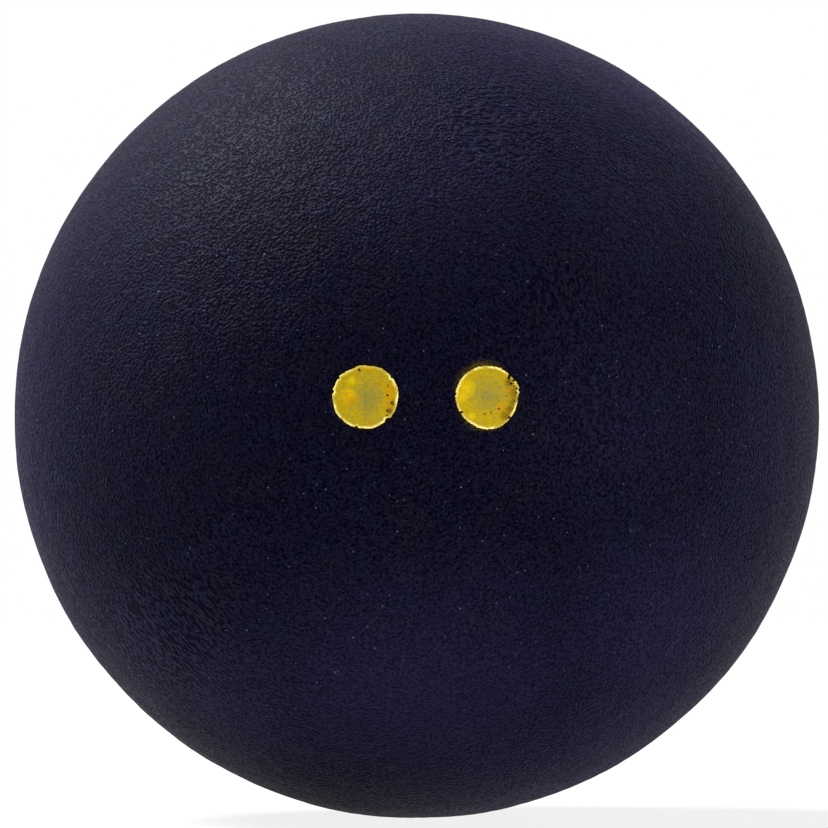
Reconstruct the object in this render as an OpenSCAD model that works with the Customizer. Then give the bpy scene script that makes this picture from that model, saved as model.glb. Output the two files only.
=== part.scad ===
// Squash ball, in millimetres
// Two moulded rubber half-shells meet at a flat seam and are held by a film of cured
// cement. Two speed dots are printed side by side on the front half.
// The origin is the centre of the ball. +Z is up, the dots face the front along -Y,
// and the seam lies in the XZ plane.

/* [Ball] */
// Outer diameter of the ball
ball_d = 40; // [39.5:0.1:40.5]
// Thickness of the rubber wall
wall_t = 4.6; // [3.5:0.1:6]

/* [Seam] */
// Thickness of the cured cement film between the two rims
bond_t = 0.2; // [0.1:0.05:0.4]
// Radius of the cement bead that the joint squeezes into the cavity
bead_r = 0.45; // [0.3:0.05:1]

/* [Speed dots] */
// Diameter of each printed dot
dot_d = 3; // [2:0.1:4]
// Distance between the centres of the two dots, straight across
dot_pitch = 5.8; // [5:0.1:12]
// Height of the pair of dots above the middle of the ball
dot_rise = 0.9; // [0:0.1:6]
// Thickness of the dried ink
ink_t = 0.05; // [0.02:0.01:0.1]

/* [Hidden] */
$fn = 128;

ball_r = ball_d / 2;
cavity_r = ball_r - wall_t;

// Each dot is aimed in two turns: up from the front by the tilt, then sideways by the swing
dot_tilt = asin(dot_rise / ball_r);
dot_swing = asin(dot_pitch / 2 / (ball_r * cos(dot_tilt)));

RUBBER_COLOR = [0.10, 0.10, 0.15];
CEMENT_COLOR = [0.20, 0.19, 0.17];
INK_COLOR = [0.86, 0.74, 0.12];

// Half of the wall's section: a quarter ring that ends in a flat rim, clear of the seam
// plane by half the cement film. The height of the profile is the distance from the seam.
module wall_profile() {
    difference() {
        intersection() {
            circle(ball_r);
            translate([0, bond_t / 2]) square(ball_r);
        }
        circle(cavity_r);
    }
}

// One moulded hemisphere, open towards its rim and domed along +Z
module half_shell() {
    color(RUBBER_COLOR) rotate_extrude() wall_profile();
}

// The cement film fills the gap between the rims, flush with the outside of the ball
module film_profile() {
    difference() {
        intersection() {
            circle(ball_r);
            translate([0, -bond_t / 2]) square([ball_r, bond_t]);
        }
        circle(cavity_r);
    }
}

// The squeezed-out bead is a low ridge that lies against the inside of both shells
module bead_profile() {
    intersection() {
        circle(cavity_r);
        translate([cavity_r, 0]) circle(bead_r);
    }
}

// One printed dot: a cap of ink with an even thickness that follows the ball, with its
// centre on +Z
module ink_cap() {
    color(INK_COLOR) intersection() {
        difference() {
            sphere(ball_r + ink_t);
            sphere(ball_r);
        }
        cylinder(h = ball_d, d = dot_d);
    }
}

// Aims a dot at its place on the front: side is 1 for the right dot and -1 for the left
module place_dot(side) {
    rotate([90 - dot_tilt, 0, side * dot_swing]) children();
}

module front_half_shell() {
    rotate([90, 0, 0]) half_shell();
}

module rear_half_shell() {
    rotate([-90, 0, 0]) half_shell();
}

module seam_bond() {
    color(CEMENT_COLOR) rotate([90, 0, 0]) rotate_extrude() {
        film_profile();
        bead_profile();
    }
}

module left_dot() {
    place_dot(-1) ink_cap();
}

module right_dot() {
    place_dot(1) ink_cap();
}

front_half_shell();
rear_half_shell();
seam_bond();
left_dot();
right_dot();
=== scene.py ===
# Dresses the squash ball: two buffed rubber half-shells, the cement between them and the printed dots.
import logging
import math
from dataclasses import dataclass
from enum import Enum
from functools import cached_property

import bpy
import numpy as np
from bpy.types import ID, Material, Mesh, Node, Object, World
from bpy.types import NodeSocket as Socket
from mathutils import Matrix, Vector
from numpy import ndarray


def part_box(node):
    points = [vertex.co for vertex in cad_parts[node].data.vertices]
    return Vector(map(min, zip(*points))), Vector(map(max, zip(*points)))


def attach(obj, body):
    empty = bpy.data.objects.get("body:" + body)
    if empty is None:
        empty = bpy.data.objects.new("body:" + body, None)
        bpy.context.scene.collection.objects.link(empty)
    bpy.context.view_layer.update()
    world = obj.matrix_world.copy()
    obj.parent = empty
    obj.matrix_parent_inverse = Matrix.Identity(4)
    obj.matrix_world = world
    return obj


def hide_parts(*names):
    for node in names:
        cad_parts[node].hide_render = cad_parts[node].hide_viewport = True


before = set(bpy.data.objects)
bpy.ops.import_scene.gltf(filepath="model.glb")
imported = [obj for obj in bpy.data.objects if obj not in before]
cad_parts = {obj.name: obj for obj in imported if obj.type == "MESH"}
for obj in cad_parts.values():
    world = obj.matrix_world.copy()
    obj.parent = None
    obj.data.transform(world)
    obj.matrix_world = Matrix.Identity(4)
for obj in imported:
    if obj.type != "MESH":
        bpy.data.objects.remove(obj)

log = logging.getLogger("squash_ball")

BODY = "root"
BAKE_MAP = "OFBake"  # name of the shells' UV map

Colour = tuple[float, float, float]
Place = tuple[float, float, float]
Span = tuple[float, float]
Inputs = dict[str | int, Socket | float | Colour | Place]

BLACK = (0.0, 0.0, 0.0)
WHITE = (1.0, 1.0, 1.0)
CENTRE = (0.0, 0.0, 0.0)  # the ball's
WHOLE = (0.0, 1.0)  # all values that a share can have
NOISE_SPAN = (0.28, 0.72)  # where nearly all values of a noise lie

RIM_STEPS = 4  # steps of a shell's outer edge for each step of its inner one
FIRST_CORNER = -3 * math.pi / 4  # direction of the dome grid's first corner
SLACK = 1e-9  # how far under 1 a share may be rounded
TENTHS, HUNDREDTHS = 1e4, 1e5  # of a millimetre in a metre


class Half(Enum):
    """Which half of the ball a shell is. The value turns the front's shape to its place about +Z."""

    FRONT = 1
    REAR = -1


@dataclass(frozen=True)
class BallSizes:
    """The ball's sizes in metres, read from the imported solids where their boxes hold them."""

    radius: float
    half_seam: float
    wall: float = 0.0046
    bead: float = 0.00045

    @classmethod
    def from_frame(cls) -> "BallSizes":
        """Reads the outer radius and half the seam's width from the front half's box."""
        low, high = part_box("front_half_shell")
        return cls(radius=-low.y, half_seam=-high.y)

    @property
    def cavity(self) -> float:
        """Radius of the cavity."""
        return self.radius - self.wall


@dataclass(frozen=True)
class WaveBand:
    """One scale of the relief: waves of about one length and a root mean square depth, in metres."""

    length: float
    depth: float
    waves: int
    seed: int


@dataclass(frozen=True)
class Relief:
    """The low unevenness that moulding and buffing leave on the rubber, as real shape."""

    bands: tuple[WaveBand, ...] = (
        WaveBand(length=0.0070, depth=0.0000110, waves=14, seed=3),
        WaveBand(length=0.0026, depth=0.0000050, waves=22, seed=5),
        WaveBand(length=0.0011, depth=0.0000032, waves=34, seed=8),
        WaveBand(length=0.0006, depth=0.0000024, waves=48, seed=13),
    )
    mean_depth: float = 0.000035
    variety: float = 0.2  # how far a wave's length may be off its band's, as a share

    def height(self, points: ndarray) -> ndarray:
        """Height of the rubber over the nominal sphere, which is below zero nearly everywhere.

        Each band is a sum of cosines of the distance along random directions, with random phases and
        slightly varied lengths. A sum of n such cosines, times the root of 2 / n, has a root mean
        square of 1, and the band's depth scales it.

        Args:
            points: places on the sphere, as an array that ends in 3 columns, in metres.

        Returns:
            One height for each point, in metres.
        """
        lengths = 1 - self.variety, 1 + self.variety
        total = np.full(points.shape[:-1], -self.mean_depth)
        for band in self.bands:
            rng = np.random.default_rng(band.seed)
            way = rng.normal(size=(band.waves, 3))
            way /= np.linalg.norm(way, axis=1, keepdims=True)
            way *= 2 * math.pi / (band.length * rng.uniform(*lengths, (band.waves, 1)))
            phase = rng.uniform(0, 2 * math.pi, band.waves)
            for along, start in zip(way, phase):
                total += band.depth * math.sqrt(2 / band.waves) * np.cos(points @ along + start)
        return total


def fade(distance: ndarray, reach: float) -> ndarray:
    """Falls smoothly from 1 at distance 0 to 0 at the reach and past it, as 1 - 3t² + 2t³."""
    share = np.clip(distance / reach, 0, 1)
    return 1 - share * share * (3 - 2 * share)


def grid_quads(grid: ndarray) -> ndarray:
    """The four corners of each cell of a grid of vertex numbers or places, along its columns first."""
    quads = np.stack([grid[:-1, :-1], grid[:-1, 1:], grid[1:, 1:], grid[1:, :-1]], axis=2)
    return quads.reshape(-1, 4, *grid.shape[2:])


def closed(grid: ndarray) -> ndarray:
    """A grid of vertex numbers with its first column repeated after its last."""
    return np.concatenate([grid, grid[:, :1]], axis=1)


def put(name: str, data: ID) -> Object:
    """Adds an object to the scene.

    Args:
        name: its name.
        data: its mesh, light or camera.

    Returns:
        The new object.
    """
    thing = bpy.data.objects.new(name, data)
    bpy.context.scene.collection.objects.link(thing)
    return thing


def make_piece(name: str, places: ndarray, faces: list, node: str) -> Object:
    """Makes a piece of the ball, smooth shaded and at the origin.

    Args:
        name: its name.
        places: its vertices, with 3 columns, in metres.
        faces: its faces, as lists of vertex numbers.
        node: the CAD node that it stands for.

    Returns:
        The new object.
    """
    mesh = bpy.data.meshes.new(name)
    mesh.from_pydata(places.tolist(), [], faces)
    mesh.polygons.foreach_set("use_smooth", np.ones(len(mesh.polygons), bool))
    mesh.update()
    piece = put(name, mesh)
    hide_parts(node)
    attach(piece, BODY)
    return piece


def set_number(mesh: Mesh, name: str, values: ndarray) -> None:
    """Stores one number for each vertex, which a material reads as an attribute."""
    layer = mesh.attributes.new(name, "FLOAT", "POINT")
    layer.data.foreach_set("value", values.astype(np.float32).ravel())


def even_disc(side: int) -> tuple[ndarray, ndarray]:
    """Maps a square grid to a round disc so that every cell keeps the same area.

    Each square ring becomes a circle: its distance from the middle is the radius, and even steps along
    the square's sides are even steps round the circle.

    Args:
        side: how many points the grid has along each side.

    Returns:
        The radius, from 0 to 1, and the angle of each point in radians, with rows that go up.
    """
    across, up = np.meshgrid(np.linspace(-1, 1, side), np.linspace(-1, 1, side))
    wide = np.abs(across) > np.abs(up)
    radius = np.where(wide, across, up)
    safe = np.where(radius == 0, 1, radius)
    angle = np.where(wide, math.pi / 4 * up / safe, math.pi / 2 - math.pi / 4 * across / safe)
    return np.abs(radius), angle + np.where(radius < 0, math.pi, 0)


@dataclass(frozen=True)
class DotFrame:
    """Where a printed dot sits on the ball."""

    axes: ndarray  # right, up and out, as rows
    radius: float
    middle: Place  # on the ball

    @classmethod
    def of(cls, node: str, sizes: BallSizes) -> "DotFrame":
        """Reads a dot's place from its CAD node's box.

        Args:
            node: the CAD node.
            sizes: the ball's sizes.

        Returns:
            The dot's directions, radius and middle.
        """
        low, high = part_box(node)
        across, up = (low.x + high.x) / 2, (low.z + high.z) / 2
        middle = Vector((across, -math.sqrt(sizes.radius**2 - across**2 - up**2), up))
        out = middle.normalized()
        right = Vector((0, 0, 1)).cross(out).normalized()
        axes = np.array([right, out.cross(right), out])
        return cls(axes=axes, radius=(high.z - low.z) / 2, middle=tuple(middle))

    def flat(self, points: ndarray) -> tuple[ndarray, ndarray]:
        """Distance and direction of some points from the dot's middle, as seen along its axis.

        Args:
            points: places with 3 columns, in metres.

        Returns:
            The distance in metres, and the angle in degrees from the dot's right towards its top.
        """
        across, up = points @ self.axes[0], points @ self.axes[1]
        ahead = points @ self.axes[2] > 0
        return np.where(ahead, np.hypot(across, up), np.inf), np.degrees(np.arctan2(up, across))


@dataclass(frozen=True)
class Overspray:
    """A faint haze of ink on the rubber, along a stretch of a dot's outline."""

    dot: DotFrame
    angle: float  # in degrees, from the dot's right towards its top
    spread: float  # to either side of that, in degrees
    reach: float
    most: float

    def strength(self, points: ndarray) -> ndarray:
        """How much haze lies at some points.

        It fades out past the dot's outline, and round it to either side of the middle of the stretch.

        Args:
            points: places with 3 columns, in metres.

        Returns:
            The haze at each point, as a share.
        """
        far, angle = self.dot.flat(points)
        off = np.abs((angle - self.angle + 180) % 360 - 180)
        share = fade(np.maximum(far - self.dot.radius, 0), self.reach)
        return self.most * share * fade(off, self.spread)


class GrainRun(Enum):
    """The direction that drawn-out grain follows, in degrees from +X towards +Z."""

    LEVEL = 0
    RISING = 50
    UPRIGHT = 90
    FALLING = 128


@dataclass(frozen=True)
class RipplePatch:
    """A place on the front where the mould drew the grain out in one direction, in metres."""

    across: float
    up: float
    reach: float
    run: GrainRun
    most: float

    def strength(self, points: ndarray) -> ndarray:
        """How strong the drawn-out grain is at some points."""
        far = np.hypot(points[:, 0] - self.across, points[:, 2] - self.up)
        return self.most * fade(np.where(points[:, 1] < 0, far, np.inf), self.reach)


@dataclass(frozen=True)
class PaintedLightCloud:
    """A broad paler cloud on the rubber: painted light, laid where light from below and the front
    falls, in metres.
    """

    middle: Place
    reach: float
    most: float

    def strength(self, points: ndarray) -> ndarray:
        """How strong the painted light is at some points."""
        return self.most * fade(np.linalg.norm(points - self.middle, axis=-1), self.reach)


@dataclass
class HalfShell:
    """One moulded rubber half: a buffed dome, a flat rim at the seam and a smooth inner wall."""

    half: Half
    sizes: BallSizes
    relief: Relief
    side: int = 289  # points along each side of the dome's grid
    rings: int = 30  # rings of the inner wall, from its rim to its pole
    seam_dip: float = 0.00003  # how far the dome rolls off at the seam
    seam_reach: float = 0.0005  # how far from the seam the roll-off starts

    def place(self, tilt: ndarray, angle: ndarray, radius: float) -> ndarray:
        """Places on this half, from the angle off its axis, the angle round it and the radius.

        On the front, x is the sine of the tilt times the cosine of the angle, z is the sine of the tilt
        times the sine of the angle, and y is minus the cosine of the tilt. The rear is turned round.

        Args:
            tilt: angle off the half's axis, in radians.
            angle: angle round the axis, in radians.
            radius: distance from the ball's centre, in metres.

        Returns:
            Places with 3 columns, in metres.
        """
        turn = self.half.value
        across, up = turn * np.sin(tilt) * np.cos(angle), np.sin(tilt) * np.sin(angle)
        return radius * np.stack(np.broadcast_arrays(across, -turn * np.cos(tilt), up), -1)

    def outer(self) -> ndarray:
        """The dome, as a square grid of cells with the same area.

        The height lost along the axis is the disc's radius squared times the dome's whole height,
        because a sphere's area grows evenly with that height.

        Returns:
            Rows and columns of places, in metres.
        """
        sizes = self.sizes
        share, angle = even_disc(self.side)
        tilt = np.arccos(1 - share**2 * (1 - sizes.half_seam / sizes.radius))
        nominal = self.place(tilt, angle, sizes.radius)
        away = np.abs(nominal[..., 1]) - sizes.half_seam
        height = self.relief.height(nominal) - self.seam_dip * fade(away, self.seam_reach)
        places = nominal * (1 + height / sizes.radius)[..., None]
        places[share > 1 - SLACK, 1] = -self.half.value * sizes.half_seam
        return places

    def build(self) -> Object:
        """Joins the dome, the flat rim and the inner wall into one closed piece.

        The rim is a ring of flat faces, each with five outer corners and two inner ones.

        Returns:
            The finished shell.
        """
        sizes, last = self.sizes, self.side - 1
        outer = self.outer().reshape(-1, 3)
        index = np.arange(len(outer)).reshape(self.side, self.side)
        edge = np.concatenate([index[0, :-1], index[:-1, last], index[last, :0:-1], index[:0:-1, 0]])
        spokes = len(edge) // RIM_STEPS
        angles = 2 * math.pi * np.arange(spokes) / spokes + FIRST_CORNER
        rim_tilt = math.acos(sizes.half_seam / sizes.cavity)
        tilts = rim_tilt * np.arange(1, self.rings + 1) / self.rings
        inner = self.place(tilts[:, None], angles[None], sizes.cavity).reshape(-1, 3)
        pole = self.place(0.0, 0.0, sizes.cavity)[None]
        places = np.concatenate([outer, inner, pole])

        wall = closed(len(outer) + np.arange(len(inner)).reshape(self.rings, spokes))
        steps = RIM_STEPS * np.arange(spokes)[:, None] + np.arange(RIM_STEPS, -1, -1)
        outside = np.append(edge, edge[0])[steps]
        rim = np.concatenate([outside, wall[-1, :-1, None], wall[-1, 1:, None]], axis=1)
        cap = np.stack([np.full(spokes, len(places) - 1), wall[0, 1:], wall[0, :-1]], axis=1)
        faces = grid_quads(index).tolist() + rim.tolist() + grid_quads(wall).tolist() + cap.tolist()
        name = self.half.name.lower()
        shell = make_piece(f"{name}_buffed_shell", places, faces, f"{name}_half_shell")
        self.lay_map(shell.data, spokes, steps)
        return shell

    def lay_map(self, mesh: Mesh, spokes: int, steps: ndarray) -> None:
        """Lays the shell flat in a UV map: the dome in a square, and the rim and wall in strips.

        Args:
            mesh: the shell's mesh, with its faces in the order that build gives them.
            spokes: how many steps the inner wall has round its rim.
            steps: the outer corners of the rim's faces, as steps round the edge.
        """
        margin, dome = 0.004, 0.90
        strip = 2 * margin + dome
        width = 1 - strip - margin
        line = margin + dome * np.linspace(0, 1, self.side)
        dome_uv = grid_quads(np.stack(np.meshgrid(line, line), -1))
        turn = margin + dome * np.arange(spokes + 1) / spokes
        outside = margin + dome * steps / (RIM_STEPS * spokes)
        rim_across = np.concatenate([outside, turn[:-1, None], turn[1:, None]], axis=1)
        rim_up = strip + width * np.array([1] * (RIM_STEPS + 1) + [0, 0])
        rim_up = np.broadcast_to(rim_up, rim_across.shape)
        out = strip + width * np.arange(1, self.rings + 1) / self.rings
        wall_uv = grid_quads(np.stack(np.broadcast_arrays(out[:, None], turn[None]), -1))
        cap_across = np.broadcast_to([strip, out[0], out[0]], (spokes, 3))
        cap_up = np.stack([(turn[1:] + turn[:-1]) / 2, turn[1:], turn[:-1]], axis=1)
        rim_uv, cap_uv = np.stack([rim_across, rim_up], -1), np.stack([cap_across, cap_up], -1)
        flat = [part.reshape(-1, 2) for part in (dome_uv, rim_uv, wall_uv, cap_uv)]
        corners = np.concatenate(flat).astype(np.float32)
        mesh.uv_layers.new(name=BAKE_MAP).uv.foreach_set("vector", corners.ravel())


@dataclass
class CementSeam:
    """The cured cement between the rims, with the bead that was squeezed into the cavity."""

    sizes: BallSizes
    outer_depth: float  # how far the buffed edge lies under the nominal sphere
    sag: float = 0.25  # how far the cement's outside sags, as a share of that
    spokes: int = 720
    arc_points: int = 13

    def profile(self) -> tuple[ndarray, ndarray]:
        """The closed outline of the cement's section: the outside, and the bead as half a circle.

        Returns:
            The place along Y and the distance from the Y axis of each point, in metres.
        """
        sizes = self.sizes
        outside = sizes.radius - self.outer_depth
        sag = self.sag * self.outer_depth
        turn = np.linspace(math.pi / 2, -math.pi / 2, self.arc_points)
        inside = sizes.cavity - sizes.bead * np.cos(turn)
        along = np.concatenate([sizes.half_seam * np.array([-1, 0, 1]), sizes.bead * np.sin(turn)])
        return along, np.concatenate([[outside, outside - sag, outside], inside])

    def build(self) -> Object:
        """Turns the section once round the Y axis.

        Returns:
            The finished ring.
        """
        along, reach = self.profile()
        turn = 2 * math.pi * np.arange(self.spokes) / self.spokes
        across, up = reach * np.cos(turn)[:, None], reach * np.sin(turn)[:, None]
        places = np.stack(np.broadcast_arrays(across, along, up), -1).reshape(-1, 3)
        index = closed(np.arange(len(places)).reshape(self.spokes, len(along)))
        faces = grid_quads(np.concatenate([index, index[:1]])).tolist()
        return make_piece("seam_cement", places, faces, "seam_bond")


@dataclass(frozen=True)
class Nick:
    """A place on a dot's outline where the ink is short, or spills over if the depth is below zero."""

    angle: float  # in degrees, from the dot's right towards its top
    width: float  # to either side of that, in degrees
    depth_share: float  # in radii of the dot


@dataclass(frozen=True)
class Blot:
    """A round spot on a dot."""

    angle: float  # in degrees, from the dot's right towards its top
    radius_share: float  # how far from the dot's middle, in radii of the dot
    size: float  # the spot's own radius, in metres

    def strength(self, across: ndarray, up: ndarray, radius: float) -> ndarray:
        """How strongly it shows at some places on a dot with a radius, from 1 in its middle to 0."""
        turn, reach = math.radians(self.angle), self.radius_share * radius
        return fade(np.hypot(across - reach * math.cos(turn), up - reach * math.sin(turn)), self.size)


@dataclass(frozen=True)
class WornPatch:
    """The oval in a dot where the ink is rubbed thin: its middle, from the dot's, and its reaches."""

    right: float
    up: float
    wide: float
    tall: float

    def strength(self, across: ndarray, up: ndarray) -> ndarray:
        """How thin the ink is at some places, from 1 in the middle of the oval to 0 outside it."""
        return fade(np.hypot((across - self.right) / self.wide, (up - self.up) / self.tall), 1.0)


@dataclass
class PrintedDot:
    """One speed dot: a film of ink that follows the rubber, with a thicker rim and a broken outline."""

    node: str
    sizes: BallSizes
    relief: Relief
    seed: int
    nicks: tuple[Nick, ...]
    worn: WornPatch
    blots: dict[str, tuple[Blot, ...]]  # the pinholes and the spots of other colours
    widened: float = 1.0  # how much wider than tall the print came out
    spread: float = 1.015  # how far the wet ink ran, in radii of the dot
    film: float = 0.000034  # thickness of the ink
    wear: float = 0.3  # share of the film that is missing in the worn middle
    rim_rise: float = 0.000024  # how much thicker the ink is at its rim
    rim_width: float = 0.00019  # width of the thick rim
    edge_round: float = 0.00005  # radius of the ink's rounded outer edge
    root: float = 0.00003  # how far the ink's edge goes into the rubber
    sole: float = 0.00006  # how far the middle of its underside lies in it
    sole_share: float = 0.6  # size of that middle, as a share of the dot
    pinhole_depth: float = 1.25  # share of the ink that a pinhole takes, which stops at all of it
    waver: float = 0.014  # unevenness of the outline, in radii of the dot
    waver_fall: float = 0.75  # the power at which finer waves become lower
    finest: int = 60  # all waves of the outline are coarser than this many to the turn
    spokes: int = 288
    rings: int = 72

    def outline(self, angle: ndarray) -> ndarray:
        """The distance of the ink's edge from the middle, in radii of the dot.

        It is 1 plus a slight waver, which is a sum of cosines of whole multiples of the angle with
        falling heights, less a smooth dent for each nick.

        Args:
            angle: angles round the dot, in radians.

        Returns:
            The distance at each angle.
        """
        rng = np.random.default_rng(self.seed)
        edge = np.ones_like(angle)
        for turns in range(2, self.finest):
            height = self.waver / turns**self.waver_fall * rng.normal()
            edge += height * np.cos(turns * angle + rng.uniform(0, 2 * math.pi))
        for nick in self.nicks:
            off = (np.degrees(angle) - nick.angle + 180) % 360 - 180
            edge -= nick.depth_share * fade(np.abs(off), nick.width)
        return edge

    def build(self) -> Object:
        """Lays the ink on the rubber as a polar grid and closes it underneath.

        A ring's distance from the middle is the edge's distance times the sine of an even step from 0
        to a quarter turn, so the rings gather at the edge. The thickness is the film plus the rim's
        rise, and rounds off like a quarter circle at the edge. In a pinhole it dips into the rubber.

        Returns:
            The finished dot.
        """
        dot = DotFrame.of(self.node, self.sizes)
        turn = 2 * math.pi * np.arange(self.spokes) / self.spokes
        share = np.sin(math.pi / 2 * np.arange(1, self.rings + 1) / self.rings)
        edge = self.spread * self.outline(turn) * dot.radius
        reach = share[:, None] * edge
        across, up = self.widened * reach * np.cos(turn), reach * np.sin(turn)
        inset = edge - reach

        rim = fade(inset, self.rim_width)
        worn = self.worn.strength(across, up)
        shown = {
            name: np.max([blot.strength(across, up, dot.radius) for blot in group], axis=0)
            for name, group in self.blots.items()
        }
        depth = self.film * (1 - self.wear * worn) + self.rim_rise * rim + self.root
        rounded = np.sqrt(1 - (1 - np.clip(inset / self.edge_round, 0, 1)) ** 2)
        top = depth * rounded - self.root - depth * np.clip(self.pinhole_depth * shown["hole"], 0, 1)

        spare = self.spokes + 1
        under = self.sole_share * np.stack([across[-1], up[-1]], -1)
        rings = np.stack([across, up], -1).reshape(-1, 2)
        flat = np.concatenate([np.zeros((1, 2)), rings, under, np.zeros((1, 2))])
        middle = self.film * (1 - self.wear * worn[0, 0])
        lift = np.concatenate([[middle], top.ravel(), np.full(spare, -self.sole)])
        places = self.wrap(flat, lift, dot.axes)

        index = closed(1 + np.arange((self.rings + 1) * self.spokes).reshape(-1, self.spokes))[::-1]
        fan = np.stack([np.zeros(self.spokes, int), index[-1, :-1], index[-1, 1:]], axis=1)
        base = np.stack([np.full(self.spokes, len(places) - 1), index[0, 1:], index[0, :-1]], axis=1)
        faces = fan.tolist() + grid_quads(index).tolist() + base.tolist()
        piece = make_piece(f"{self.node}_ink", places, faces, self.node)
        for name, values in {**shown, "rim": rim, "worn": worn}.items():
            values = np.concatenate([values[0, :1], values.ravel(), np.zeros(spare)])
            set_number(piece.data, name, values)
        return piece

    def wrap(self, flat: ndarray, lift: ndarray, axes: ndarray) -> ndarray:
        """Wraps flat places round the ball.

        The flat distance from the middle, over the ball's radius, is the angle from the dot's axis.

        Args:
            flat: places to the right of and above the dot's middle, as 2 columns in metres.
            lift: height over the rubber at each place, in metres.
            axes: the dot's directions as rows: right, up and out.

        Returns:
            Places with 3 columns, in metres.
        """
        far = np.linalg.norm(flat, axis=1)
        tilt = (far / self.sizes.radius)[:, None]
        side = flat / np.where(far == 0, 1, far)[:, None]
        unit = np.sin(tilt) * (side @ axes[:2]) + np.cos(tilt) * axes[2]
        rubber = self.relief.height(unit * self.sizes.radius)
        return unit * (self.sizes.radius + rubber + lift)[:, None]


class Graph:
    """The nodes of a material or a world. Most methods add nodes and return an output.

    Sockets go by number where a node gives the same name to several of them.
    """

    def __init__(self, owner: Material | World) -> None:
        """Turns on the nodes.

        Args:
            owner: a new material or world.
        """
        owner.use_nodes = True
        self.owner = owner
        self.nodes, self.links = owner.node_tree.nodes, owner.node_tree.links

    @cached_property
    def place(self) -> Socket:
        """The piece's own coordinates."""
        return self.add("TexCoord").outputs["Object"]

    def fill(self, node: Node, inputs: Inputs) -> None:
        """Links outputs to a node's inputs, or sets the inputs' own values.

        Args:
            node: the node.
            inputs: an output, a number or a colour for each input, by the input's name or number.
        """
        for name, value in inputs.items():
            socket = node.inputs[name]
            if isinstance(value, Socket):
                self.links.new(value, socket)
            elif isinstance(value, tuple) and len(socket.default_value) == 4:
                socket.default_value = (*value, 1)
            else:
                socket.default_value = value

    def shade(self, inputs: Inputs) -> None:
        """Fills the inputs of the material's Principled shader."""
        self.fill(self.nodes["Principled BSDF"], inputs)

    def add(self, kind: str, inputs: Inputs | None = None, **settings: str | bool) -> Node:
        """Adds a node.

        Args:
            kind: the node's type, without its prefix.
            inputs: what its inputs are filled with.
            settings: its own settings.

        Returns:
            The node.
        """
        node = self.nodes.new(f"ShaderNode{kind}")
        for name, value in settings.items():
            setattr(node, name, value)
        self.fill(node, inputs or {})
        return node

    def read(self, name: str) -> Socket:
        """A mesh attribute, as a number."""
        return self.add("Attribute", attribute_name=name).outputs["Fac"]

    def sum(self, operation: str, *values: Socket | float, clamp: bool = False) -> Socket:
        """One step of arithmetic on some values. The result stays from 0 to 1 where it is clamped."""
        inputs = dict(enumerate(values))
        return self.add("Math", inputs, operation=operation, use_clamp=clamp).outputs["Value"]

    def noise(self, size: float, detail: float, rough: float = 0.5, at: Socket | None = None) -> Socket:
        """Soft noise around 0.5: its grain in metres, finer layers, their strength and coordinates."""
        inputs = {"Vector": at or self.place, "Scale": 1 / size, "Detail": detail, "Roughness": rough}
        return self.add("TexNoise", inputs).outputs["Fac"]

    def distance(self, point: Place) -> Socket:
        """Distance of the surface from a point, in metres."""
        return self.add("VectorMath", {0: self.place, 1: point}, operation="DISTANCE").outputs["Value"]

    def ramp(
        self, value: Socket, low: Socket | float, high: float, to: Span = WHOLE,
        kind: str = "SMOOTHSTEP",
    ) -> Socket:
        """Maps low to high onto another range, which the result never leaves, by a kind of curve."""
        inputs = dict(enumerate((value, low, high, *to)))
        return self.add("MapRange", inputs, interpolation_type=kind).outputs["Result"]

    def blend(self, share: Socket | float, low: Socket, high: Socket) -> Socket:
        """Mixes two numbers, where the share is how much of the second shows."""
        return self.add("Mix", {0: share, 2: low, 3: high}).outputs[0]

    def mix(self, share: Socket, low: Socket | Colour, high: Socket | Colour) -> Socket:
        """Mixes two colours in the same way."""
        return self.add("Mix", {0: share, 6: low, 7: high}, data_type="RGBA").outputs[2]

    def stretch(self, run: float, times: float) -> Socket:
        """The piece's coordinates, drawn out some times along a direction, in degrees from +X to +Z."""
        inputs = {"Vector": self.place, "Rotation": (0, -math.radians(run), 0), "Scale": (times, 1, 1)}
        return self.add("Mapping", inputs, vector_type="TEXTURE").outputs["Vector"]

    def bump(self, height: Socket, depth: float) -> Socket:
        """The direction of the surface, raised by a height from 0 to 1 times a depth in metres."""
        return self.add("Bump", {"Distance": depth, "Height": height}).outputs["Normal"]

    def seen_or_mirrored(self) -> Socket:
        """Tells what the camera sees, also in or through the ball, from what lights things.

        Returns:
            1 for the camera's rays and mirrored or refracted ones, and 0 for all others.
        """
        path = self.add("LightPath").outputs
        shown = path["Is Camera Ray"]
        for name in ("Is Glossy Ray", "Is Transmission Ray"):
            shown = self.sum("MAXIMUM", shown, path[name])
        return shown

    def dress(self, *pieces: Object) -> None:
        """Gives the material to some pieces.

        Args:
            pieces: the pieces, whose own materials go.
        """
        for piece in pieces:
            piece.data.materials.clear()
            piece.data.materials.append(self.owner)


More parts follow.
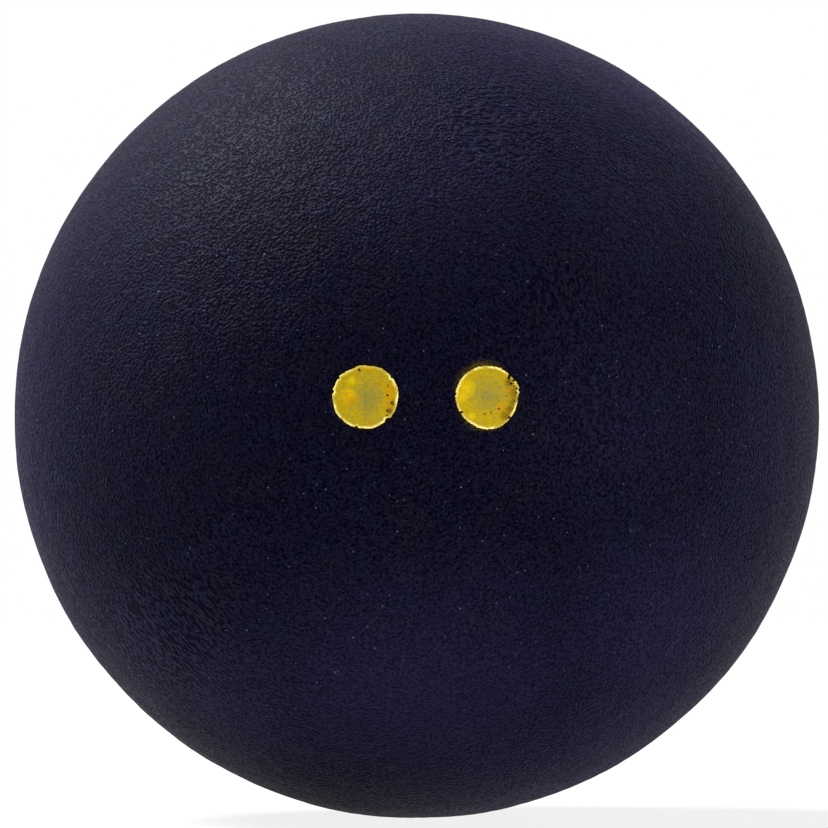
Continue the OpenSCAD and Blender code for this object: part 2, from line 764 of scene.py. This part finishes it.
@dataclass(frozen=True)
class BuffedRubber:
    """The black rubber's outside, which buffing leaves matt with a fine leathery grain."""

    navy: Colour = (0.0047, 0.0040, 0.0152)
    # painted shade: the colour of the pits and pores
    deep: Colour = (0.0003, 0.0003, 0.0016)
    olive: Colour = (0.0060, 0.0058, 0.0125)
    teal: Colour = (0.0044, 0.0056, 0.0170)
    # painted light: the paler colour where light from below and the front falls
    painted_light_tint: Colour = (0.0170, 0.0152, 0.0450)
    # the same painted light, in the pits
    painted_light_in_pits: Colour = (0.0060, 0.0054, 0.0155)
    ink_haze: Colour = (0.075, 0.050, 0.004)
    haze_in_pits: float = 0.5  # share of the haze that reaches into the pits
    stain: Colour = (0.0075, 0.0030, 0.0006)
    stain_from: float = 1.02  # where the stain starts to fade, in radii of the print
    stain_reach: float = 0.00018  # the length over which it fades
    speck: Colour = (0.10, 0.10, 0.13)
    speck_sizes: tuple[Span, ...] = ((0.00085, 0.070), (0.00034, 0.13))  # cell, and radius in cells
    speck_core: float = 0.4  # share of a speck's radius that is fully bright
    speck_at: Span = (0.35, 0.55)  # where in the blotches specks are common and where rare
    speck_bar: Span = (0.32, 0.66)  # share of the cells that have no speck there
    gloss_tint: Colour = (0.78, 0.75, 1.0)  # of the crests, while the pits reflect nothing, as painted shade
    gloss_level: float = 0.028
    roughness: Span = (0.67, 0.52)  # in the pits and on the crests
    bloom: float = 0.029  # strength of the bluish bloom that shows at a slant
    bloom_tint: Colour = (0.34, 0.29, 1.0)
    bloom_roughness: float = 0.5
    grain: float = 0.00015  # size of the grain
    pore: float = 0.00011  # size of the fine pores in it
    pits: Span = (0.30, 0.60)  # where in the grain a pit ends and a crest begins
    pit_share: float = 0.6  # share of the relief that is pits, and the rest is plain grain
    pore_height: float = 0.1  # height of the pores, as a share of the grain's
    pore_shade: float = 0.6  # share of the painted pit shade that comes from pores, and the rest from pits
    ripple_pore_shade: float = 0.3  # the same among the ripples
    grain_depth: float = 0.00007
    ripple: float = 0.00019  # width of a ripple
    ripple_draw: float = 1.7  # how much longer than wide a ripple is
    ripple_lift: float = 2.8  # how much deeper the ripples are than the grain
    blotch: float = 0.0018  # size of the patches of tint
    olive_at: Span = (0.50, 0.72)  # where in the blotches olive starts and is full
    teal_at: Span = (0.45, 0.30)  # the same for teal
    uneven: float = 0.0016  # size of the patches of shallower and deeper grain
    uneven_at: Span = (0.35, 0.65)  # where in their noise those are
    uneven_depth: Span = (0.65, 1.15)  # how deep they are, in depths of the grain

    def material(self, prints: tuple[DotFrame, ...]) -> Graph:
        """Builds the material.

        Pits open where a fine noise is low, and the crests between them stay nearly level. Colour and
        roughness follow the same pits, whose darker colour and lost reflection are painted shade, and
        paler clouds are painted light. The rubber is stained close round the prints.

        Args:
            prints: where the dots are.

        Returns:
            The material's graph.
        """
        graph = Graph(bpy.data.materials.new("buffed_rubber"))
        grain = graph.ramp(graph.noise(self.grain, detail=0.5, rough=0.6), *NOISE_SPAN)
        pore = graph.ramp(graph.noise(self.pore, detail=0.5), *NOISE_SPAN)
        drawn_share = 0.0
        for run in GrainRun:
            along = graph.stretch(run.value, self.ripple_draw)
            drawn = graph.ramp(graph.noise(self.ripple, detail=0.5, at=along), *NOISE_SPAN)
            share = graph.read(run.name.lower())
            grain = graph.blend(share, grain, drawn)
            drawn_share = graph.sum("MAXIMUM", share, drawn_share)
        crest = graph.ramp(grain, *self.pits)

        blotch = graph.noise(self.blotch, detail=2.0)
        tint = graph.mix(graph.ramp(blotch, *self.olive_at), self.navy, self.olive)
        tint = graph.mix(graph.ramp(blotch, *self.teal_at), tint, self.teal)
        # painted light: paler patches that stand in for light from below and the front
        painted_light = graph.read("painted_light")
        tint = graph.mix(painted_light, tint, self.painted_light_tint)
        # painted shade: the pits and pores take a darker colour
        pit_shade = graph.mix(painted_light, self.deep, self.painted_light_in_pits)
        pore_shade_share = graph.ramp(drawn_share, *WHOLE, (self.pore_shade, self.ripple_pore_shade))
        unshaded = graph.blend(pore_shade_share, crest, pore)
        colour = graph.mix(unshaded, pit_shade, tint)
        colour = graph.mix(self.specks(graph, blotch), colour, self.speck)
        for dot in prints:
            edge = self.stain_from * dot.radius
            near = graph.ramp(graph.distance(dot.middle), edge, edge + self.stain_reach, (1.0, 0.0))
            colour = graph.mix(near, colour, self.stain)
        reached = graph.ramp(grain, *self.pits, (self.haze_in_pits, 1.0))
        haze = graph.sum("MULTIPLY", graph.read("ink_haze"), reached)

        height = graph.blend(self.pit_share, grain, crest)
        height = graph.sum("MULTIPLY_ADD", pore, self.pore_height, height)
        uneven = graph.ramp(graph.noise(self.uneven, detail=2.0), *self.uneven_at, self.uneven_depth)
        lift = graph.ramp(drawn_share, *WHOLE, (1.0, self.ripple_lift))
        height = graph.sum("MULTIPLY", height, graph.sum("MULTIPLY", uneven, lift))
        graph.shade({
            "Base Color": graph.mix(haze, colour, self.ink_haze),
            "Roughness": graph.ramp(crest, *WHOLE, self.roughness),
            # painted shade: the pits lose their reflection
            "Specular Tint": graph.mix(unshaded, BLACK, self.gloss_tint),
            "Specular IOR Level": self.gloss_level,
            "Sheen Weight": self.bloom,
            "Sheen Tint": self.bloom_tint,
            "Sheen Roughness": self.bloom_roughness,
            "Normal": graph.bump(height, self.grain_depth),
        })
        return graph

    def specks(self, graph: Graph, blotch: Socket) -> Socket:
        """Fine dust and pale worn tips, as two sizes of dots that gather where a noise is low.

        The middle of each cell has a dot where the cell's random red is above the bar.

        Args:
            graph: the material's graph.
            blotch: the noise.

        Returns:
            1 on a speck and 0 beside it.
        """
        shown = 0.0
        bar = graph.ramp(blotch, *self.speck_at, self.speck_bar)
        for size, radius in self.speck_sizes:
            cell = graph.add("TexVoronoi", {"Vector": graph.place, "Scale": 1 / size}).outputs
            near = graph.ramp(cell["Distance"], self.speck_core * radius, radius, (1.0, 0.0))
            red = graph.add("SeparateColor", {"Color": cell["Color"]}).outputs["Red"]
            speck = graph.sum("MULTIPLY", near, graph.ramp(red, bar, 1.0))
            shown = graph.sum("MAXIMUM", speck, shown)
        return shown


@dataclass(frozen=True)
class PrintedInk:
    """Matt yellow printing ink, thin and greenish where it is worn and pale along its thick rim."""

    yellow: Colour = (0.41, 0.280, 0.002)
    olive: Colour = (0.245, 0.205, 0.030)
    orange: Colour = (0.47, 0.225, 0.001)
    bright: Colour = (0.62, 0.425, 0.003)
    rust: Colour = (0.115, 0.055, 0.002)
    blot_least: float = 0.65  # share of a blot that shows in the deepest grain
    blot_full: float = 0.8  # how high in the grain all of it shows
    pale: Colour = (0.84, 0.74, 0.22)
    rim_at: Span = (0.05, 0.75)  # where on the thick rim pale starts and is full
    rim_patch: float = 0.0005  # size of the rim's duller and paler stretches
    rim_patch_at: Span = (0.40, 0.62)  # where in their noise they are dull and pale
    rim_least: float = 0.2  # share of pale in the dull ones
    rubber: Colour = (0.07, 0.035, 0.006)
    roughness: Span = (0.7, 0.6)  # in the deepest grain and on its tips
    gloss_level: float = 0.03
    grain: float = 0.00011
    grain_depth: float = 0.000012
    patch: float = 0.00025  # size of the thin patches
    patch_at: Span = (0.35, 0.68)  # where in their noise they start and are full
    patch_thin: float = 0.40  # how thin a full patch looks
    worn_thin: float = 0.8  # how thin the worn middle looks
    grain_thin: Span = (0.14, -0.20)  # what the grain's depths and tips add to that

    def material(self) -> Graph:
        """Builds the material.

        The worn share, a patchy noise and a fine one add up to how thin the ink looks.

        Returns:
            The material's graph.
        """
        graph = Graph(bpy.data.materials.new("yellow_ink"))
        grain = graph.ramp(graph.noise(self.grain, detail=1.5, rough=0.6), *NOISE_SPAN)
        patch = graph.ramp(graph.noise(self.patch, detail=1.5), *self.patch_at)
        worn = graph.sum("MULTIPLY", graph.read("worn"), self.worn_thin)
        thin = graph.sum("MULTIPLY_ADD", patch, self.patch_thin, worn)
        thin = graph.sum("ADD", thin, graph.ramp(grain, *WHOLE, self.grain_thin), clamp=True)
        colour = graph.mix(thin, self.yellow, self.olive)
        broken = graph.ramp(grain, 0.0, self.blot_full, (self.blot_least, 1.0))
        for name, blot in (("bright", self.bright), ("orange", self.orange), ("rust", self.rust)):
            colour = graph.mix(graph.sum("MULTIPLY", graph.read(name), broken), colour, blot)
        patchy = graph.noise(self.rim_patch, detail=2.0)
        patchy = graph.ramp(patchy, *self.rim_patch_at, (self.rim_least, 1.0))
        rim = graph.ramp(graph.read("rim"), *self.rim_at)
        colour = graph.mix(graph.sum("MULTIPLY", rim, patchy), colour, self.pale)
        graph.shade({
            "Base Color": graph.mix(graph.read("hole"), colour, self.rubber),
            "Roughness": graph.ramp(grain, *WHOLE, self.roughness),
            "Specular IOR Level": self.gloss_level,
            "Normal": graph.bump(grain, self.grain_depth),
        })
        return graph


@dataclass(frozen=True)
class CuredCement:
    """The dark cured cement of the seam."""

    dark: Colour = (0.0045, 0.0042, 0.0085)
    light: Colour = (0.0080, 0.0075, 0.0130)
    grain: float = 0.0002
    grain_depth: float = 0.00002
    tips_at: Span = (0.3, 0.7)  # where in the grain its depths end and its tips begin
    roughness: Span = (0.75, 0.6)  # in the depths and on the tips
    gloss_level: float = 0.12

    def material(self) -> Graph:
        """Builds the material.

        Returns:
            The material's graph.
        """
        graph = Graph(bpy.data.materials.new("cured_cement"))
        grain = graph.noise(self.grain, detail=3.0, rough=0.6)
        graph.shade({
            "Base Color": graph.mix(grain, self.dark, self.light),
            "Roughness": graph.ramp(grain, *self.tips_at, self.roughness),
            "Specular IOR Level": self.gloss_level,
            "Normal": graph.bump(grain, self.grain_depth),
        })
        return graph


@dataclass(frozen=True)
class PhotoView:
    """The camera, set so that the ball's outline lands where the photograph has it."""

    side: int = 828  # the photograph's width and height, in pixels
    outline_x: float = 416.64
    outline_y: float = 415.88
    outline_radius: float = 402.3
    distance: float = 0.45
    azimuth: float = -1.34  # in degrees, as the photograph shows the dots a little to the right
    sensor: float = 36.0
    far: float = 10.0  # how far the camera sees

    def add(self, radius: float) -> None:
        """Adds the camera.

        The outline's radius on the sensor, over the focal length, is the ball's radius over the length
        of a line from the camera that touches the ball.

        Args:
            radius: the ball's radius, in metres.
        """
        data = bpy.data.cameras.new("photo_view")
        touch = math.sqrt(self.distance**2 - radius**2)
        data.sensor_width = self.sensor
        data.lens = self.sensor * self.outline_radius / self.side * touch / radius
        data.shift_x = (self.side / 2 - self.outline_x) / self.side
        data.shift_y = (self.outline_y - self.side / 2) / self.side
        data.clip_end = self.far
        camera = put("photo_view", data)
        turn = math.radians(self.azimuth)
        camera.location = (self.distance * math.sin(turn), -self.distance * math.cos(turn), 0)
        camera.rotation_euler = (math.pi / 2, 0, turn)
        bpy.context.scene.camera = camera


@dataclass(frozen=True)
class SoftBox:
    """An area light that faces the ball. Its bearing is 0 behind the ball and 90 on its right."""

    name: str
    bearing: float
    height: float
    power: float
    wide: float = 0.5
    tall: float = 0.5
    distance: float = 0.6

    def add(self) -> None:
        """Adds the light."""
        data = bpy.data.lights.new(self.name, "AREA")
        data.shape, data.size, data.size_y, data.energy = "RECTANGLE", self.wide, self.tall, self.power
        turn, rise = math.radians(self.bearing), math.radians(self.height)
        way = Vector((math.sin(turn) * math.cos(rise), math.cos(turn) * math.cos(rise), math.sin(rise)))
        light = put(self.name, data)
        light.location = way * self.distance
        light.rotation_euler = way.to_track_quat("Z", "Y").to_euler()
        light.visible_camera = False


@dataclass
class Studio:
    """The plain white surroundings: a pale floor, even light from all sides and soft boxes."""

    floor_height: float
    boxes: tuple[SoftBox, ...] = (
        SoftBox("key", bearing=296, height=56, power=10.9, wide=0.3, tall=0.3),
        SoftBox("right", bearing=90, height=45, power=0.7),
        SoftBox("right_strip", bearing=90, height=5, power=0.15, tall=0.12),
        SoftBox("front_strip", bearing=135, height=5, power=2.3, tall=0.12),
    )
    ambient: float = 0.03
    floor_side: float = 6.0
    floor_colour: Colour = (0.85, 0.85, 0.85)
    floor_glow: float = 0.85  # share of plain white in the seen floor near the ball
    glow_from: float = 0.08  # distance from which it grows, because the lamps reach less far
    glow_full: float = 0.45  # distance from which the floor is plain white

    def build(self) -> None:
        """Adds the world, the lights and the floor."""
        self.light_world()
        for box in self.boxes:
            box.add()
        half = self.floor_side / 2
        mesh = bpy.data.meshes.new("floor")
        corners = [(-half, -half), (half, -half), (half, half), (-half, half)]
        mesh.from_pydata([(x, y, self.floor_height) for x, y in corners], [], [(0, 1, 2, 3)])
        floor = put("floor", mesh)
        self.floor_material().dress(floor)

    def light_world(self) -> None:
        """Makes the world white to look at and an even, weaker light on things."""
        graph = Graph(bpy.data.worlds.new("white_surround"))
        strength = graph.ramp(graph.seen_or_mirrored(), *WHOLE, (self.ambient, 1.0), "LINEAR")
        graph.fill(graph.nodes["Background"], {"Color": WHITE, "Strength": strength})
        bpy.context.scene.world = graph.owner

    def floor_material(self) -> Graph:
        """A matt floor that looks white where no shadow falls, near and far.

        Returns:
            The material's graph.
        """
        graph = Graph(bpy.data.materials.new("pale_floor"))
        graph.nodes.clear()
        away = graph.distance(CENTRE)
        glow = graph.ramp(away, self.glow_from, self.glow_full, (self.floor_glow, 1.0), "LINEAR")
        share = graph.sum("MULTIPLY", graph.seen_or_mirrored(), glow)
        matt = graph.add("BsdfDiffuse", {"Color": self.floor_colour}).outputs["BSDF"]
        white = graph.add("Emission").outputs["Emission"]
        mixed = graph.add("MixShader", {0: share, 1: matt, 2: white}).outputs["Shader"]
        graph.add("OutputMaterial", {"Surface": mixed})
        return graph


def blots(**groups: tuple[tuple[float, float, int], ...]) -> dict[str, tuple[Blot, ...]]:
    """Makes groups of blots.

    Args:
        groups: rows of an angle, a share of the dot's radius and a size in hundredths of a millimetre.

    Returns:
        The blots of each group.
    """
    return {
        name: tuple(Blot(angle, share, size / HUNDREDTHS) for angle, share, size in rows)
        for name, rows in groups.items()
    }


def left_dot(sizes: BallSizes, relief: Relief) -> PrintedDot:
    """The left dot, with its own nicks, pinholes and blots.

    Args:
        sizes: the ball's sizes.
        relief: the rubber's unevenness.

    Returns:
        The dot, ready to be built.
    """
    return PrintedDot(
        "left_dot", sizes, relief, seed=21, widened=1.045,
        nicks=(
            Nick(131, 3, 0.03), Nick(144, 4, 0.05), Nick(170, 4, 0.045), Nick(165, 2, -0.03),
            Nick(254, 4, 0.06), Nick(313, 8, 0.06), Nick(39, 4, 0.03), Nick(215, 34, -0.03),
            Nick(300, 55, 0.025), Nick(141, 26, -0.04),
        ),
        worn=WornPatch(right=0.00016, up=-0.00012, wide=0.0010, tall=0.0015),
        blots=blots(
            orange=((17, 0.86, 55), (0, 0.86, 45), (-20, 0.84, 42), (192, 0.46, 34), (172, 0.62, 24)),
            bright=((173, 0.56, 52), (130, 0.70, 30)),
            rust=((-12, 0.92, 26), (-30, 0.90, 28)),
            hole=(
                (104, 0.90, 10), (5, 0.70, 8), (-12, 0.85, 8), (-32, 0.82, 8), (-41, 0.89, 6),
                (28, 0.80, 5),
            ),
        ),
    )


def right_dot(sizes: BallSizes, relief: Relief) -> PrintedDot:
    """The right dot, whose upper right edge is broken up.

    Args:
        sizes: the ball's sizes.
        relief: the rubber's unevenness.

    Returns:
        The dot, ready to be built.
    """
    return PrintedDot(
        "right_dot", sizes, relief, seed=34,
        nicks=(
            Nick(18, 24, -0.065), Nick(-3, 2, 0.03), Nick(5, 1.5, 0.03), Nick(13, 2, 0.06),
            Nick(24, 1.6, 0.04), Nick(31, 2, 0.05), Nick(38, 1.5, -0.03), Nick(43, 4, 0.07),
            Nick(174, 3, 0.04), Nick(318, 2, 0.04),
        ),
        worn=WornPatch(right=0.00008, up=0.00012, wide=0.0013, tall=0.0012),
        blots=blots(
            orange=((-38, 0.56, 38), (15, 0.80, 35), (-28, 0.84, 30)),
            bright=((157, 0.74, 62), (178, 0.80, 45), (230, 0.80, 30)),
            rust=((10, 0.90, 46), (-10, 0.92, 52), (-28, 0.88, 48), (32, 0.84, 36), (-46, 0.84, 40)),
            hole=(
                (41, 0.94, 13), (29, 0.90, 10), (32, 1.00, 8), (16, 1.00, 8), (22, 0.94, 6),
                (9, 0.96, 6), (36, 0.86, 5), (-45, 0.53, 7), (-76, 0.50, 6), (-100, 0.54, 6),
                (4, 0.64, 5), (210, 0.96, 11), (-42, 0.96, 11),
            ),
        ),
    )


def mark_rubber(mesh: Mesh, left: DotFrame, right: DotFrame) -> None:
    """Stores where a shell has ink haze, drawn-out grain and painted light, for its material.

    Args:
        mesh: the shell's mesh.
        left, right: where the dots are.
    """
    hazes = (
        Overspray(right, angle=112, spread=70, reach=0.00034, most=1.0),
        Overspray(right, angle=250, spread=60, reach=0.00022, most=0.6),
        Overspray(left, angle=190, spread=60, reach=0.00018, most=0.6),
    )
    patches = [
        RipplePatch(x / TENTHS, z / TENTHS, reach / TENTHS, run, most)
        for x, z, reach, run, most in (
            (-118, -98, 56, GrainRun.FALLING, 0.95), (-98, -60, 35, GrainRun.FALLING, 0.5),
            (100, 115, 50, GrainRun.LEVEL, 0.4), (35, 140, 55, GrainRun.LEVEL, 0.75),
            (62, 60, 50, GrainRun.UPRIGHT, 0.6), (85, -10, 45, GrainRun.UPRIGHT, 0.45),
            (100, -100, 40, GrainRun.RISING, 0.3), (-110, 105, 45, GrainRun.RISING, 0.2),
        )
    ]
    # painted light from below and the front, as clouds of paler colour
    light_clouds = [
        PaintedLightCloud((x / TENTHS, y / TENTHS, z / TENTHS), reach / TENTHS, most)
        for x, y, z, reach, most in (
            (10, -130, -150, 132, 0.86), (38, -80, -179, 118, 1.0),
            (92, -85, -156, 92, 1.0), (112, -118, -114, 110, 0.74),
            (-80, -110, -150, 90, 0.45), (-145, -75, -115, 80, 0.35),
            (165, -100, -20, 90, 0.22), (100, -143, 97, 70, 0.28),
            (95, -170, 0, 80, 0.22), (10, -165, 110, 80, 0.26),
            (-90, 160, 60, 120, 0.35), (40, 150, -120, 100, 0.26),
        )
    ]
    places = np.empty(3 * len(mesh.vertices), np.float32)
    mesh.vertices.foreach_get("co", places)
    places = places.reshape(-1, 3)
    runs = {run.name.lower(): [patch for patch in patches if patch.run is run] for run in GrainRun}
    for name, marks in {"ink_haze": hazes, "painted_light": light_clouds, **runs}.items():
        set_number(mesh, name, np.max([mark.strength(places) for mark in marks], axis=0))


def main() -> None:
    """Builds the ball and its surroundings, one part after the other."""
    logging.basicConfig(level=logging.INFO, format="%(name)s: %(message)s")
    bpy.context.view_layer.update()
    sizes = BallSizes.from_frame()
    relief = Relief()
    PhotoView().add(sizes.radius - relief.mean_depth)
    Studio(floor_height=-sizes.radius).build()

    shells = [HalfShell(half, sizes, relief) for half in Half]
    prints = (DotFrame.of("left_dot", sizes), DotFrame.of("right_dot", sizes))
    domes = [shell.build() for shell in shells]
    BuffedRubber().material(prints).dress(*domes)
    for dome in domes:
        mark_rubber(dome.data, *prints)
    seam = CementSeam(sizes, relief.mean_depth + shells[0].seam_dip).build()
    CuredCement().material().dress(seam)
    dots = [left_dot(sizes, relief).build(), right_dot(sizes, relief).build()]
    PrintedInk().material().dress(*dots)
    for piece in [*domes, seam, *dots]:
        log.info("%s: %d faces", piece.name, len(piece.data.polygons))

    bpy.context.scene.view_settings.view_transform = "Standard"


if __name__ == "__main__":
    main()
